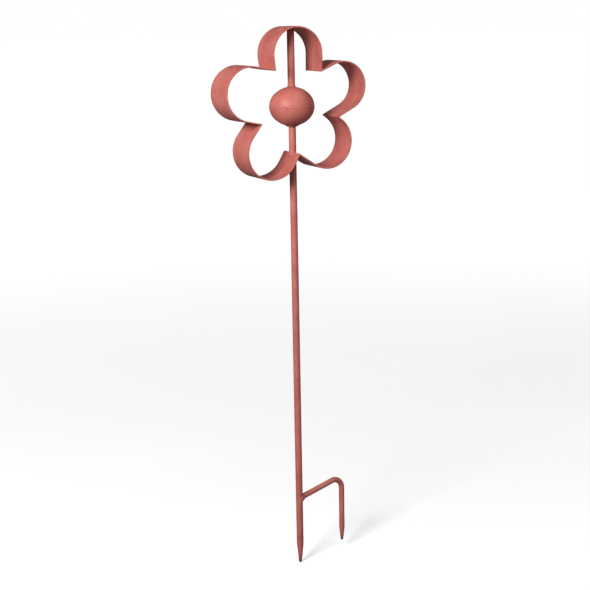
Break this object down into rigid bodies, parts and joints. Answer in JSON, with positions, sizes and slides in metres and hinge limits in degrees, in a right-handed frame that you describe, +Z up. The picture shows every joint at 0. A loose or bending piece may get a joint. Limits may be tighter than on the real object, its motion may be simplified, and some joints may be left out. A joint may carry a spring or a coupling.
{
  "type": "wind spinner",
  "caption": "Wind spinner: a five-petalled flower of bent steel strip with a hollow ball at its middle turns on a round-bar garden stake that has a side prong.",
  "frame": {"origin": "on the stake's axis at ground level, where the side prong's arm meets the stake", "axes": "+Z up along the stake, flower facing -Y, prong out along +X and a little back"},
  "size_m": [0.2296, 0.069, 0.8515],
  "materials": {
    "coat": "satin",
    "bearing_steel": "polished",
    "bare_steel": "satin",
    "bush_nylon": "matte"
  },
  "bodies": {
    "stake": {"stake_rod": "coat", "side_prong": "coat", "prong_weld": "coat", "bearing_ball": "bearing_steel"},
    "head": {"flower_band": "coat", "band_seam_weld": "coat", "upper_spindle": "coat", "spindle_top_weld": "coat", "ball_upper_shell": "coat", "ball_lower_shell": "coat", "ball_seam_weld": "coat", "ball_top_weld": "coat", "ball_bottom_weld": "coat", "pivot_sleeve": "bare_steel", "pivot_plug": "bare_steel", "upper_bush": "bush_nylon", "lower_bush": "bush_nylon"}
  },
  "joints": [
    {"name": "head_spin", "type": "hinge", "parent": "stake", "child": "head", "pos_m": [0, 0, 0.624], "axis": [0, 0, 1], "continuous": true}
  ]
}
